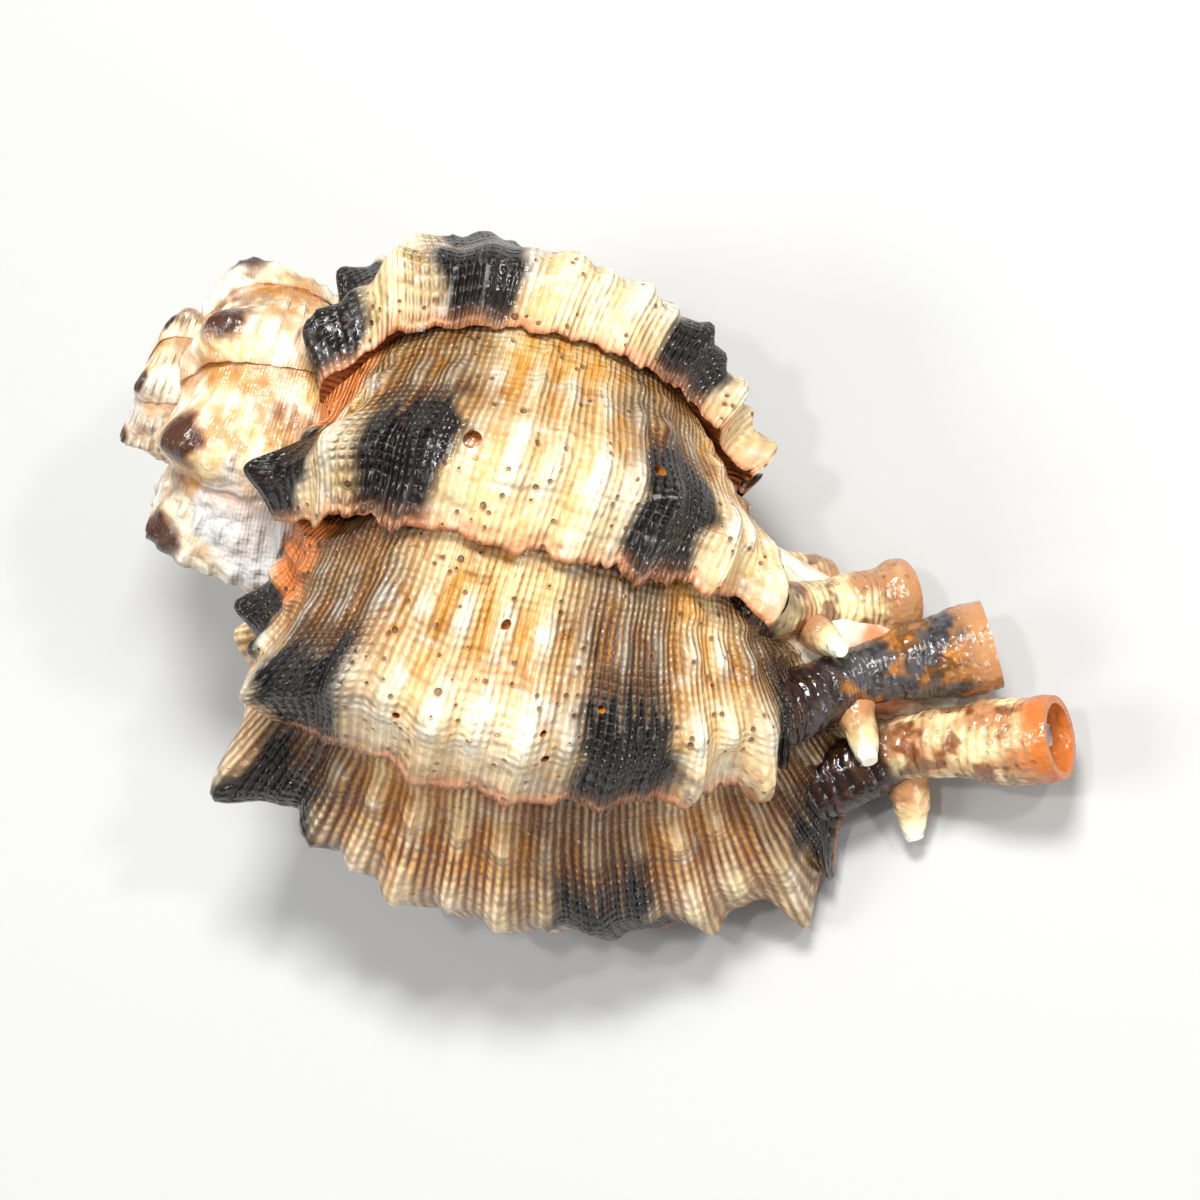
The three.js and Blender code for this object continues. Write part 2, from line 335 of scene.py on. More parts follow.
def globe_indices(net, meridians, rows):
    """Row and meridian of each point of a globe, and whether it is one of the two poles."""
    index = net.node("GeometryNodeInputIndex")
    row = ((index - 1.0) / meridians).floor()
    meridian = (index - 1.0) - row * meridians
    top = index < 0.5
    bottom = index > rows * meridians + 0.5
    return row, meridian, top, bottom


def outline_fields(share):
    """The outline's place and its outward direction at a share of its length."""
    shares = shares_of(OUTLINE)
    along_curve = [(s, p[0] / 100) for s, p in zip(shares, OUTLINE)]
    away_curve = [(s, p[1] / 40) for s, p in zip(shares, OUTLINE)]

    def at(s):
        return s.curve(along_curve) * 100.0, s.curve(away_curve) * 40.0

    along, away = at(share)
    after, before = at((share + 0.012).least(1.0)), at((share - 0.012).most(0.0))
    run, rise = after[0] - before[0], after[1] - before[1]
    length = (run * run + rise * rise).sqrt()
    return along, away, -(rise / length), run / length


# Spines that stand on a varix: share, part of the step, width over shares, width over parts,
# then how far they carry the surface along the axis, away from it and forward.
SPINES = [
    (0.090, 0.74, 0.042, 0.24, -4.4, 1.4, 0.4),
    (0.195, 0.83, 0.040, 0.16, -1.5, 2.2, 0.6),
    (0.300, 0.90, 0.024, 0.10, -0.1, 0.5, 0.2),
    (0.405, 0.90, 0.024, 0.10, 0.0, 0.4, 0.1),
    (0.510, 0.90, 0.024, 0.10, 0.1, 0.4, 0.1),
    (0.615, 0.88, 0.026, 0.10, 0.3, 0.7, 0.3),
    (0.720, 0.91, 0.020, 0.09, 1.0, 1.5, 0.7),
    (0.806, 0.92, 0.020, 0.09, 2.4, 2.4, 0.8),
    (0.868, 0.93, 0.018, 0.08, 1.5, 3.2, 0.7),
]


def step_tree():
    """One growth step: its surface up to the frilled edge, the face under that edge, and its two ends."""
    inputs = {
        "Step": 0.0, "Rows": 150, "Columns": 60, "Varix height": 4.0, "Edge reach": 1.9,
        "Cord height": 1.3, "Fold": 0.5, "Ramp": 1.0, "Shoulder": 1.0, "Scallops": 1.0, "Seed": 7.0,
    }
    net, given = open_tree("Growth step", inputs)
    step, rows, columns = given["Step"], given["Rows"], given["Columns"]
    ball = net.node(
        "GeometryNodeMeshUVSphere", {}, {"Segments": columns, "Rings": rows + 1.0, "Radius": 1.0}
    )
    row, column, top, bottom = globe_indices(net, columns, rows)
    share = ((row + 0.5) / rows).most(0.0).least(1.0)
    under_columns = 6.0
    part = (((column - 1.0) / (columns - 2.0 - under_columns)) * 1.12 - 0.12).least(1.0)
    under = ((column - (columns - 1.0 - under_columns)) / under_columns).clamp()
    on_axis = column < 0.5

    start = -(STEP_ANGLE * (step + 1.0) + STEP_SLOWING * step * (step + 1.0)) / 360.0
    end = -(STEP_ANGLE * step + STEP_SLOWING * step * (step - 1.0)) / 360.0
    turn = part.mix(start, end)
    wear = turn.step(-1.5, -0.55)

    # Nothing on a grown shell is quite regular.
    growth = part - step
    spot = vector(net, share * 9.0, growth * 1.3, given["Seed"])
    sway = noise(net, spot, 1.0, 2.0)
    spot2 = vector(net, share * 26.0, growth * 3.1, given["Seed"] + 5.0)
    grain = noise(net, spot2, 1.0, 3.0)
    each = noise(net, vector(net, (share * 10.0).floor() * 3.7, step * 5.3, given["Seed"]), 1.0, 0.0)

    warped = share + sway * 0.006
    phase = (warped - FIRST_CORD) * CORDS
    ridge = ((phase * (2 * math.pi)).cos() * 0.5 + 0.5) ** 1.3
    between = ((phase * (2 * math.pi)).cos() * -0.5 + 0.5) ** 3.0
    third = ((warped * (2 * math.pi * FINE_CORDS)).cos() * 0.5 + 0.5)

    standing = share.step(0.02, 0.22) * (1.0 - share.step(0.82, 0.94) * 0.85)
    rise = part.step(0.0, 0.3) * 0.12 + part.step(0.3, 0.78) * 0.88 - part.step(0.80, 1.0) * given["Fold"]
    rise = rise * (1.0 + sway * 0.10)
    cords = (part.step(0.05, 0.75) * 0.75 + 0.25) * (turn * 1.5 + 1.15).most(0.45)
    each_half = noise(net, vector(net, (share * 20.0).floor() * 3.1, step * 4.7, given["Seed"]), 1.0, 0.0)
    beads = (ridge * ridge).most(between * between * 0.8)
    rows_of_knobs = part.peak(0.40, 0.075).most(part.peak(0.74, 0.085)).most(part.peak(0.20, 0.05) * 0.5)
    nodule = rows_of_knobs * beads * (0.8 + each_half * 1.6).most(0.0)
    spread = share.step(0.0, 0.06)

    lift = (
        standing * given["Varix height"] * rise
        + (ridge - 0.45) * given["Cord height"] * cords * spread
        + between * given["Cord height"] * 0.6 * cords
        + third * 0.16 * cords
        + nodule * 1.1
        + grain * 0.34
        + sway * 0.5
    )
    knob = share.peak(0.21, 0.10) * part.peak(0.70, 0.24)
    lift = lift * (wear * 0.3 + 0.7) + (0.9 + knob * 5.0 + noise(net, spot, 2.2, 2.0) * 1.4) * (1.0 - wear)
    lift = lift - (part < 0.0) * 1.6 * (-part / 0.12)

    # The free edge reaches over the next step in scallops, and folds back under itself.
    scallop = (((warped * (2 * math.pi * SCALLOPS)).sin() * 0.5 + 0.5) ** 0.7) * (0.7 + each_half * 1.1)
    teeth = ((warped * (2 * math.pi * TEETH) + sway * 5.0).sin() * 0.5 + 0.5) * (0.35 + each * 0.5).most(0.05)
    frill = scallop + teeth + ridge * 0.5 + grain * 0.6
    overhang = given["Edge reach"] + frill * given["Scallops"]
    reach = part.step(0.86, 1.0) * standing * overhang * (wear * 0.8 + 0.2)
    fold = 1.0 - under
    lift = lift * (1.0 - under * 0.8) - under * under * 2.4
    reach = reach * fold * (1.0 - under * 0.35)

    along, away, out_along, out_away = outline_fields(share)
    forward = reach
    for place, at, wide, long, push_along, push_away, push_on in SPINES:
        hill = share.peak(place, wide) * part.peak(at, long) * (1.0 + each * 0.35) * fold * (wear * 0.6 + 0.4)
        scale = given["Ramp"] if place < 0.15 else given["Shoulder"] if place < 0.25 else given["Scallops"]
        if place > 0.7:
            scale = 1.0
        along = along + hill * push_along * (scale.least(1.0) if place < 0.7 else 1.0)
        away = away + hill * push_away * scale
        forward = forward + hill * push_on
    along = along + out_along * lift
    away = (away + out_away * lift).most(0.4)
    turned = turn + slant(end, share) + sway * 0.0016 + forward / (away * (2 * math.pi))
    surface = grown_place(net, turned, along, away)

    pole = (top * OUTLINE_TOP) + (1.0 - top) * OUTLINE_BOTTOM
    axis_along = share.mix(OUTLINE_TOP, OUTLINE_BOTTOM)
    lonely = (top + bottom).clamp()
    core = grown_place(net, end, lonely.mix(axis_along, pole), 0.0)
    inside = (lonely + on_axis).clamp()
    place = mixed_vector(net, inside, surface, core)
    moved = net.node("GeometryNodeSetPosition", {}, {"Geometry": ball, "Position": place})
    moved = net.node("GeometryNodeFlipFaces", {}, {"Mesh": moved})
    kept = store(net, moved, "growth", share, part.most(0.0) * 0.96 - 0.98 - step)
    rimmed = (part > 0.985).most(under > 0.01)
    kept = store(net, kept, "finish", rimmed * EDGE, under)
    return close_tree(net, kept)


def mixed_vector(net, factor, a, b):
    """a where the factor is 0, b where it is 1."""
    toward = net.node("ShaderNodeVectorMath", {"operation": "SUBTRACT"}, [b, a])
    part = net.node("ShaderNodeVectorMath", {"operation": "SCALE"}, {"Vector": toward, "Scale": factor})
    return net.node("ShaderNodeVectorMath", {"operation": "ADD"}, [a, part])


def line_tree(name, points, kind, sides=28, rings=90, ribs=0.0):
    """A closed tube along a line that is given in growth space, with its own thickness along the way."""
    net, given = open_tree(name, {"Turn": 0.0, "Number": 0.0, "Thickness": 1.0, "Reach": 1.0, "Seed": 3.0})
    shares = shares_of(points)

    def curve(at, column, low, high):
        """One of the points' numbers along the line; all of them lie from low to high."""
        stops = [(s, (p[column] - low) / (high - low)) for s, p in zip(shares, points)]
        return at.curve(stops) * (high - low) + low

    start = Vector((0.0, 0.0, 0.0))
    line = net.node("GeometryNodeMeshLine", {}, {"Count": rings, "Start Location": start})
    line = net.node("GeometryNodeMeshToCurve", {}, {"Mesh": line})
    travelled = net.node("GeometryNodeInputIndex") / float(rings - 1)
    at = travelled * given["Reach"]
    bend = noise(net, vector(net, travelled * 3.0, given["Turn"] * 30.0, given["Seed"]), 1.0, 1.0)
    bend = bend * (at * 14.0 * ribs)
    along, away, lean = curve(at, 0, 0, 110), curve(at, 1, -10, 30) + bend, curve(at, 2, -10, 15)
    place = grown_place(net, given["Turn"], along, away, lean)
    line = net.node("GeometryNodeSetPosition", {}, {"Geometry": line, "Position": place})
    line = net.node("GeometryNodeSetCurveNormal", {"mode": "MINIMUM_TWIST"}, {"Curve": line})
    size = net.node("ShaderNodeMath", {"operation": "POWER"}, [EXPANSION, given["Turn"]])
    thick = curve(at, 3, 0, 12) * size * given["Thickness"]
    if ribs:
        wave = noise(net, vector(net, at * 30.0, given["Turn"] * 40.0, given["Seed"]), 1.0, 2.0)
        lumps = noise(net, vector(net, at * 7.0, given["Turn"] * 40.0, given["Seed"] + 4.0), 1.0, 1.0)
        flare = travelled.step(0.90, 1.0) * 0.10
        thick = thick * (1.0 + wave * ribs + lumps * ribs * 2.6 + flare)
    line = net.node(
        "GeometryNodeStoreNamedAttribute", {"data_type": "FLOAT", "domain": "POINT"},
        {"Geometry": line, "Name": "travel", "Value": travelled},
    )
    ring = net.node("GeometryNodeCurvePrimitiveCircle", {}, {"Resolution": sides, "Radius": 1.0})
    ring = net.node(
        "GeometryNodeStoreNamedAttribute", {"data_type": "FLOAT", "domain": "POINT"},
        {"Geometry": ring, "Name": "round", "Value": net.node("GeometryNodeInputIndex") / float(sides)},
    )
    tube = net.node(
        "GeometryNodeCurveToMesh", {}, {"Curve": line, "Profile Curve": ring, "Scale": thick, "Fill Caps": True}
    )
    travel = net.node("GeometryNodeInputNamedAttribute", {"data_type": "FLOAT"}, {"Name": "travel"})
    around = net.node("GeometryNodeInputNamedAttribute", {"data_type": "FLOAT"}, {"Name": "round"})
    kept = store(net, tube, "growth", travel, given["Number"] + around * 0.9 + 0.05)
    kept = store(net, kept, "finish", float(kind), travel)
    return close_tree(net, kept)


# Bored holes in the varices: step, share, part of the step, radius, and height of the floor over the whorl.
HOLES = [
    (2, 0.345, 0.72, 0.85, 2.3),
    (2, 0.580, 0.66, 0.50, 2.2),
    (1, 0.450, 0.39, 0.45, 0.4),
    (1, 0.530, 0.83, 0.40, 2.0),
    (1, 0.520, 0.72, 0.30, 2.2),
    (1, 0.360, 0.80, 0.36, 2.2),
    (1, 0.585, 0.63, 0.32, 1.8),
    (3, 0.420, 0.66, 0.40, 2.6),
]


def hole_tree():
    """A narrow bore into the shell's surface, straight in."""
    net, given = open_tree("Bored hole", {"Turn": 0.0, "Share": 0.5, "Radius": 0.5, "Floor": 2.0})
    line = net.node("GeometryNodeMeshLine", {}, {"Count": 3, "Start Location": Vector((0.0, 0.0, 0.0))})
    line = net.node("GeometryNodeMeshToCurve", {}, {"Mesh": line})
    along, away, out_along, out_away = outline_fields(given["Share"])
    deep = net.node("GeometryNodeInputIndex") * 2.5 + given["Floor"]
    place = grown_place(net, given["Turn"], along + out_along * deep, away + out_away * deep)
    line = net.node("GeometryNodeSetPosition", {}, {"Geometry": line, "Position": place})
    ring = net.node("GeometryNodeCurvePrimitiveCircle", {}, {"Resolution": 14, "Radius": 1.0})
    values = {"Curve": line, "Profile Curve": ring, "Scale": given["Radius"], "Fill Caps": True}
    bore = net.node("GeometryNodeCurveToMesh", {}, values)
    kept = store(net, bore, "growth", 0.5, 0.5)
    kept = store(net, kept, "finish", float(HOLE), 0.0)
    return close_tree(net, kept)


def hollow_tree():
    """The hollow that winds back from the aperture, smooth inside."""
    net, given = open_tree("Hollow", {"Sides": 56, "Rings": 60})
    sides, rings = given["Sides"], given["Rings"]
    ball = net.node("GeometryNodeMeshUVSphere", {}, {"Segments": sides, "Rings": rings + 1.0, "Radius": 1.0})
    row, column, top, bottom = globe_indices(net, sides, rings)
    shares = shares_of(HOLLOW)
    around = column / sides
    along = around.curve([(s, p[0] / 100) for s, p in zip(shares, HOLLOW)]) * 100.0
    away = around.curve([(s, p[1] / 40) for s, p in zip(shares, HOLLOW)]) * 40.0
    lonely = (top + bottom).clamp()
    back = ((row / (rings - 1.0)).most(0.0).least(1.0) * (1.0 - top)).most(bottom)
    # Deeper in, the wall is thicker.
    inward = lonely.most(back.step(0.12, 0.35) * DEEP_WALL)
    along = inward.mix(along, HOLLOW_MIDDLE[0])
    away = inward.mix(away, HOLLOW_MIDDLE[1])
    turn = 2.0 * MARGIN_TURN - back * CAVITY_TURN
    moved = net.node(
        "GeometryNodeSetPosition", {}, {"Geometry": ball, "Position": grown_place(net, turn, along, away)}
    )
    moved = net.node("GeometryNodeFlipFaces", {}, {"Mesh": moved})
    kept = store(net, moved, "growth", around, turn)
    kept = store(net, kept, "finish", float(INSIDE), back)
    return close_tree(net, kept)


def margin_tree():
    """The thin lip that had grown past the last varix; the hollow trims it to a wall."""
    net, given = open_tree("Lip margin", {"Rows": 120, "Seed": 4.0})
    rows = given["Rows"]
    columns = 16
    ball = net.node("GeometryNodeMeshUVSphere", {}, {"Segments": columns, "Rings": rows + 1.0, "Radius": 1.0})
    row, column, top, bottom = globe_indices(net, columns, rows)
    share = ((row + 0.5) / rows).most(0.0).least(1.0)
    lonely = (top + bottom).clamp()
    core = (column < 0.5).most(lonely)
    part = ((column - 1.0) / (columns - 2.0)).clamp()
    frill = ((share * (2 * math.pi * LIP_FRILLS)).sin() * 0.5 + 0.5) * share.peak(0.5, 0.4)
    rough = noise(net, vector(net, share * 14.0, part * 2.0, given["Seed"]), 1.0, 2.0)
    depth = part.step(0.2, 1.0) * 0.03 + 0.012 + part.step(0.55, 1.0) * frill * 0.012 + rough * 0.004
    along, away, _, _ = outline_fields(share)
    turn = part.mix(-MARGIN_TURN, MARGIN_TURN) * (1.0 - core) + (share - 0.4) * SLANT_AT_LIP + rough * 0.001
    turn = turn + part.step(0.8, 1.0) * frill * 0.0016 * (1.0 - core)
    away = away * (1.0 - core.mix(depth, 0.4)) * lonely.mix(1.0, 1.33)
    moved = net.node(
        "GeometryNodeSetPosition", {}, {"Geometry": ball, "Position": grown_place(net, turn, along, away)}
    )
    moved = net.node("GeometryNodeFlipFaces", {}, {"Mesh": moved})
    kept = store(net, moved, "growth", share, part * 0.25)
    kept = store(net, kept, "finish", (part > 0.97) * EDGE, part)
    return close_tree(net, kept)


def call(net, tree, values, output=0):
    """A group node of a tree, with its inputs set by name."""
    made = net.tree.nodes.new("GeometryNodeGroup")
    made.node_tree = tree
    for name, value in values.items():
        if isinstance(value, Field):
            net.tree.links.new(value.socket, made.inputs[name])
        else:
            made.inputs[name].default_value = value
    return Field(net, made.outputs[output])


# How far the free edge of each varix has come down from its crest, from the last one back.
FOLDS = [0.10, 0.42, 0.5, 0.80, 0.80]
# How high each varix stands, and how far its ramp and shoulder spines reach, over the usual, in the same order.
HEIGHTS = [1.15, 1.0, 1.0, 1.3, 0.6, 0.8]
RAMPS = [0.55, 0.5, 0.95, 0.9, 0.5, 0.7]
SHOULDERS = [2.3, 1.0, 0.9, 1.5, 0.5, 0.9]

CANAL_SPOUTS = 5
SPOUT_REACH = [1.0, 0.98, 0.93, 0.90, 0.85]
SPOUT_THICKNESS = [0.86, 0.92, 0.86, 0.85, 0.85]
CANAL_SPINES = 3
CANAL_SPINE = [(86.0, 4.5, 2.6, 2.4), (87.6, 7.6, 1.8, 2.0), (89.2, 10.0, 1.4, 1.6), (90.6, 12.4, 1.2, 0.7)]
TIP_KNOB = [(7.2, 0, 0, 1.6), (8.2, 0, 0, 3.0), (9.6, 0, 0, 4.0), (11.5, 0, 0, 4.8), (14, 0, 0, 4.0)]


def shell_tree():
    """The whole shell: every growth step, the canal spouts and lips, joined, then hollowed."""
    inputs = {
        "Varix height": 4.0, "Edge reach": 1.9, "Cord height": 1.3, "Detail": 1.0, "Finish": None,
    }
    net, given = open_tree("Shell", inputs)
    one_step = step_tree()
    spout = line_tree("Canal spout", CANAL, SPOUT, ribs=0.07)
    bore = line_tree("Canal bore", canal_bore(), BORE, sides=24, rings=24)
    solids = []
    for step in range(STEPS):
        body = step < BODY_STEPS
        fineness = 1.0 if body else 0.55
        values = {
            "Step": float(step),
            "Rows": (given["Detail"] * (150.0 * fineness)).floor(),
            "Columns": (given["Detail"] * (62.0 * fineness)).floor(),
            "Varix height": given["Varix height"] * HEIGHTS[min(step, len(HEIGHTS) - 1)],
            "Edge reach": given["Edge reach"],
            "Cord height": given["Cord height"],
            "Fold": FOLDS[min(step, len(FOLDS) - 1)],
            "Ramp": RAMPS[min(step, len(RAMPS) - 1)],
            "Shoulder": SHOULDERS[min(step, len(SHOULDERS) - 1)],
            "Scallops": 0.45 if step == 0 else 1.0,
        }
        solids.append(call(net, one_step, values))
    for step in range(CANAL_SPOUTS):
        reach, thickness = SPOUT_REACH[step], SPOUT_THICKNESS[step]
        values = {"Turn": varix_turn(step), "Number": float(step), "Reach": reach, "Thickness": thickness}
        solids.append(call(net, spout, values))
    spine = line_tree("Canal spine", CANAL_SPINE, SPINE, sides=18, rings=20, ribs=0.08)
    for step in range(CANAL_SPINES):
        solids.append(call(net, spine, {"Turn": varix_turn(step), "Number": float(step)}))
    solids.append(call(net, line_tree("Pillar", PILLAR, COLUMN, sides=40, rings=70), {}))
    solids.append(call(net, line_tree("Inner lip", INNER_LIP, COLUMN, sides=24, rings=90), {}))
    solids.append(call(net, line_tree("Worn tip", TIP_KNOB, TIP, sides=40, rings=30), {}))
    solids.append(call(net, margin_tree(), {}))
    settings = {"operation": "UNION", "solver": "MANIFOLD"}
    whole = net.node("GeometryNodeMeshBoolean", settings, {"Mesh 2": solids})

    cutters = [call(net, hollow_tree(), {}), call(net, line_tree("Slit", SLIT, INSIDE, sides=12, rings=60), {})]
    for step in range(3):
        cutters.append(call(net, bore, {"Turn": varix_turn(step), "Number": float(step)}))
    hole = hole_tree()
    for step, share, part, radius, floor in HOLES:
        end, start = varix_turn(step), varix_turn(step + 1)
        turn = start + (end - start) * part + float(slant_at(end, share))
        cutters.append(call(net, hole, {"Turn": turn, "Share": share, "Radius": radius, "Floor": floor}))
    settings = {"operation": "DIFFERENCE", "solver": "MANIFOLD"}
    whole = net.node("GeometryNodeMeshBoolean", settings, {"Mesh 1": whole, "Mesh 2": cutters})
    whole = net.node("GeometryNodeSetShadeSmooth", {}, {"Geometry": whole})
    values = {"Geometry": whole, "Rotation": (REST_ROLL, REST_PITCH, 0.0), "Scale": (0.001,) * 3}
    turned = net.node("GeometryNodeTransform", {}, values)
    whole = net.node("GeometryNodeTransform", {}, {"Geometry": turned, "Translation": axis_start()})
    # The points it rests on are worn flat.
    spot = net.node("GeometryNodeInputPosition")
    x, y, z = (net.node("ShaderNodeSeparateXYZ", {}, [spot], output=axis) for axis in range(3))
    level = vector(net, x, y, z.most(0.0))
    whole = net.node("GeometryNodeSetPosition", {}, {"Geometry": whole, "Position": level})
    whole = net.node("GeometryNodeRealizeInstances", {}, {"Geometry": whole})
    whole = net.node("GeometryNodeSetMaterial", {}, {"Geometry": whole, "Material": given["Finish"]})
    return close_tree(net, whole)


def canal_bore():
    """The hollow of the canal's open end, from inside the spout to past its tip."""
    line = [Vector(p[:3]) for p in CANAL[-4:]]
    past = line[-1] + (line[-1] - line[-2]) * 0.8
    widths = (1.2, 1.9, 2.5, 3.1, 3.3)
    return [(*p, w) for p, w in zip([*line, past], widths)]


def axis_start():
    """Where the coiling axis starts, in the frame."""
    low = Vector(NODE_BOX[0])
    return low + AXIS_START * 0.001


def shade(code):
    """A linear colour from its usual six-figure code."""
    parts = [int(code[i : i + 2], 16) / 255 for i in (0, 2, 4)]
    return tuple(c / 12.92 if c <= 0.04045 else ((c + 0.055) / 1.055) ** 2.4 for c in parts)


def blend(net, factor, a, b):
    """a where the factor is 0, b where it is 1; each is a colour or a link."""
    made = net.tree.nodes.new("ShaderNodeMix")
    made.data_type, made.clamp_factor = "RGBA", True
    for place, value in ((0, factor), (6, a), (7, b)):
        if isinstance(value, Field):
            net.tree.links.new(value.socket, made.inputs[place])
        else:
            made.inputs[place].default_value = value if place == 0 else (*value, 1.0)
    return Field(net, made.outputs[2])


def shell_finish(colours):
    """Cream and ochre with chestnut threads, dark bands and orange edges, under a glossy coat."""
    material = bpy.data.materials.new("Murex shell")
    material.use_nodes = True
    material.node_tree.nodes.clear()
    net = Net(material.node_tree)

    def map_of(name):
        uv = net.tree.nodes.new("ShaderNodeUVMap")
        uv.uv_map = name
        parts = net.tree.nodes.new("ShaderNodeSeparateXYZ")
        net.tree.links.new(uv.outputs[0], parts.inputs[0])
        return Field(net, parts.outputs[0]), Field(net, parts.outputs[1])

    share, growth = map_of("growth")
    kind, along = map_of("finish")
    place = net.node("ShaderNodeTexCoord", output=3)

    def is_kind(number):
        return ((kind - float(number)).abs() < 0.3) * 1.0

    inside, spout, pillar, tip = is_kind(INSIDE), is_kind(SPOUT), is_kind(COLUMN), is_kind(TIP)
    edge = (1.0 - (kind - 1.0).abs()).clamp()
    outer = (kind < 1.5) * 1.0

    clouds = {}

    def cloud(scale, detail=2.0):
        """Noise through the shell's body; the same scale and detail give the same node again."""
        if (scale, detail) not in clouds:
            values = {"Vector": place, "Scale": scale, "Detail": detail}
            clouds[scale, detail] = net.node("ShaderNodeTexNoise", {}, values)
        return clouds[scale, detail]

    def streak(across, on, seed, detail=2.0):
        """Noise drawn out round the whorl."""
        spot = vector(net, share * across, growth * on, seed)
        return net.node("ShaderNodeTexNoise", {}, {"Vector": spot, "Scale": 1.0, "Detail": detail})

    cell = growth.floor()
    part = ((growth - cell - 0.02) / 0.96).clamp()
    sway = streak(9.0, 1.4, 1.0, 1.0) - 0.5
    worn = growth.step(-5.4, -7.4)

    # Threads run round the whorl, a groove between each two; columns are the broad cords they cover.
    warped = share + sway * 0.012 + (streak(40.0, 5.0, 2.0, 0.0) - 0.5) * 0.0026
    thread = (warped * (2 * math.pi * THREADS)).cos() * 0.5 + 0.5
    column = ((share + sway * 0.006 - FIRST_CORD) * (2 * CORDS * 2 * math.pi)).cos() * 0.5 + 0.5
    wander = sway * 9.0 + streak(30.0, 3.0, 8.0, 0.0) * 5.0
    lines = (part * (2 * math.pi * GROWTH_LINES) + wander).cos() * 0.5 + 0.5
    crest = part.step(0.42, 0.75) * (1.0 - part.step(0.93, 1.0) * 0.4)
    groove = (1.0 - thread) ** 1.5
    patch = streak(6.0, 1.6, 11.0).step(0.40, 0.62)
    late = growth.step(-1.25, -0.85)
    knobs = column * column * (part.peak(0.40, 0.10).most(part.peak(0.74, 0.12)))

    # Cream ground, golden and ochre in the furrows, and chestnut painted shade where each step starts under the
    # overhanging edge of the varix before.
    wash = streak(14.0, 4.2, 3.0).step(0.34, 0.64)
    fleck = streak(60.0, 9.0, 4.0).step(0.40, 0.66)
    blotch = cloud(170.0).step(0.42, 0.62)
    zone = part.peak(0.53, 0.17)
    gold = wash * 0.44 + (1.0 - column) * 0.20 + fleck * 0.36 + blotch * 0.36 + zone * 0.25
    gold = gold * (1.0 - crest * 0.42)
    ground = blend(net, gold.clamp(), colours["cream"], colours["ochre"])

    def tint(colour, amount):
        """One more colour over all that is there, as far as the amount says."""
        nonlocal ground
        ground = blend(net, amount, ground, colours[colour])

    honeyed = streak(30.0, 7.0, 5.0).step(0.50, 0.72) * (0.75 - crest * 0.45) * (1.0 - column * 0.5)
    tint("honey", honeyed)
    whitening = knobs * (0.35 + wash * 0.55) * (1.0 - late * 0.6)
    whitening = whitening + streak(24.0, 9.0, 6.0).step(0.56, 0.72) * 0.5 + crest * blotch * 0.4
    tint("white", whitening.clamp())
    smear = streak(16.0, 3.0, 17.0).step(0.58, 0.72) * (1.0 - part.step(0.4, 0.8)) * (1.0 - knobs)
    tint("chestnut", (smear * 0.5 + late * (1.0 - column) * 0.35).clamp())

    # Chestnut in the grooves, stronger in broad patches and towards the lip.
    calm = crest * (1.0 - late) * (blotch * 0.4 + 0.45)
    depth = groove * (patch * 0.32 + late * 0.48 + zone * 0.24 + 0.20) * (1.0 - calm) * (1.0 - knobs * 0.7)
    depth = depth * (1.0 - worn * 0.9)
    tint("chestnut", depth.clamp())
    # Painted shade: chestnut at the start of each step, in the recess under the overhanging edge of the varix
    # before.
    shadowed = (1.0 - part.step(0.0, 0.20)) * (patch * 0.45 + 0.30) * (1.0 - column * 0.4)
    tint("chestnut", shadowed * (1.0 - worn))

    # Three dark bands that are black on each varix and brown where they come out from under the one before.
    ragged = part + (streak(90.0, 2.0, 12.0, 0.0) - 0.5) * 0.26 + (streak(14.0, 2.0, 13.0, 1.0) - 0.5) * 0.40
    wide = share + (streak(9.0, 5.0, 14.0, 1.0) - 0.5) * 0.075 - (part - 0.8) * 0.03

    def band(middle, half, soft):
        return 1.0 - (wide - middle).abs().step(half - soft, half + soft)

    drift = ((cell + 2.0) * -0.02).most(0.0).least(0.04)
    shoulder = band(drift + 0.252, 0.050, 0.010)
    bands = shoulder.most(band(0.622, 0.054, 0.010)).most(band(0.895, 0.05, 0.014))
    ramp = band(0.085, 0.058, 0.012) * ragged.step(0.38, 0.48) * growth.step(-0.7, -1.0)
    halo = band(drift + 0.245, 0.085, 0.04).most(band(0.615, 0.08, 0.04)).most(band(0.89, 0.09, 0.04))
    dark = (bands * ragged.step(0.50, 0.60)).most(ramp) * (1.0 - part.step(0.965, 1.0) * 0.6) * (1.0 - worn)
    brown = halo * (ragged.step(0.70, 0.25) * 0.80 + ragged.step(0.25, 0.55) * 0.45) * (1.0 - worn * 0.9)
    tint("umber", (brown * (0.68 + groove * 0.4)).clamp())
    # Painted highlight: grey on the thread beads of the dark bands, in patches.
    bead_highlights = (streak(60.0, 24.0, 21.0).step(0.60, 0.72) * thread * 0.75).clamp()
    black = blend(net, bead_highlights, colours["black"], colours["grey"])
    fringe = (bands * ragged.step(0.42, 0.50)).clamp() * (1.0 - dark) * (1.0 - worn)
    tint("umber", fringe * 0.7)
    ground = blend(net, dark.clamp(), ground, black)

